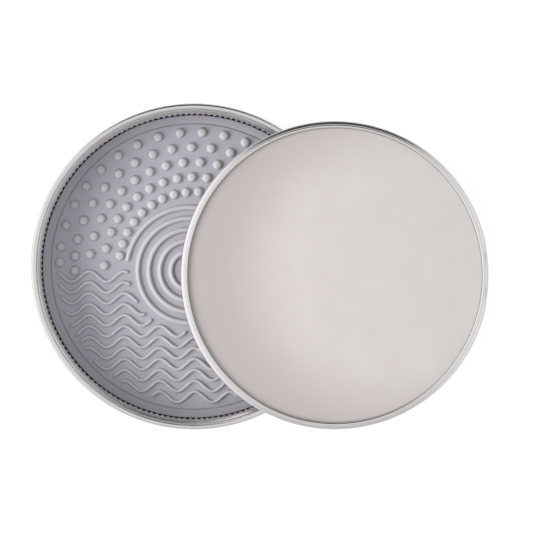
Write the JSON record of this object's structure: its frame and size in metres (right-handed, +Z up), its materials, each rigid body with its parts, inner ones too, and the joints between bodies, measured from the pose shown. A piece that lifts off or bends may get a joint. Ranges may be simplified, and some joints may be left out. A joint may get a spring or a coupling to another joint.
{
  "type": "wet palette",
  "caption": "Round screw-top tin wet palette, opened: lid with moulded texture mat, base with sponge and paper stood on its rim.",
  "frame": {"origin": "on the lid's axis, at the flat face that the lid lies on", "axes": "+Z up, out of the lid's mouth and the base's mouth; +X towards the side where the base stands"},
  "size_m": [0.1683, 0.12, 0.0341],
  "materials": {
    "tin": "satin, clear lacquered",
    "silicone": "matte moulded silicone",
    "sponge": "open cell cellulose",
    "paper": "matte, damp"
  },
  "bodies": {
    "lid": {"lid_shell": "tin"},
    "mat": {"texture_mat": "silicone"},
    "base": {"base_pan": "tin"},
    "sponge": {"sponge": "sponge"},
    "paper": {"hydration_paper": "paper"}
  },
  "joints": [
    {"name": "base_lift", "type": "slide", "parent": "lid", "child": "base", "axis": [0, 0, 1], "range_m": [0, 0.07]},
    {"name": "mat_lift", "type": "slide", "parent": "lid", "child": "mat", "axis": [0, 0, 1], "range_m": [0, 0.0245]},
    {"name": "sponge_lift", "type": "slide", "parent": "base", "child": "sponge", "axis": [0, 0, 1], "range_m": [0, 0.03]},
    {"name": "paper_lift", "type": "slide", "parent": "sponge", "child": "paper", "axis": [0, 0, 1], "range_m": [0, 0.025]}
  ],
  "couplings": [
    {"joint": "mat_lift", "follows": "base_lift", "ratio": 0.35}
  ]
}
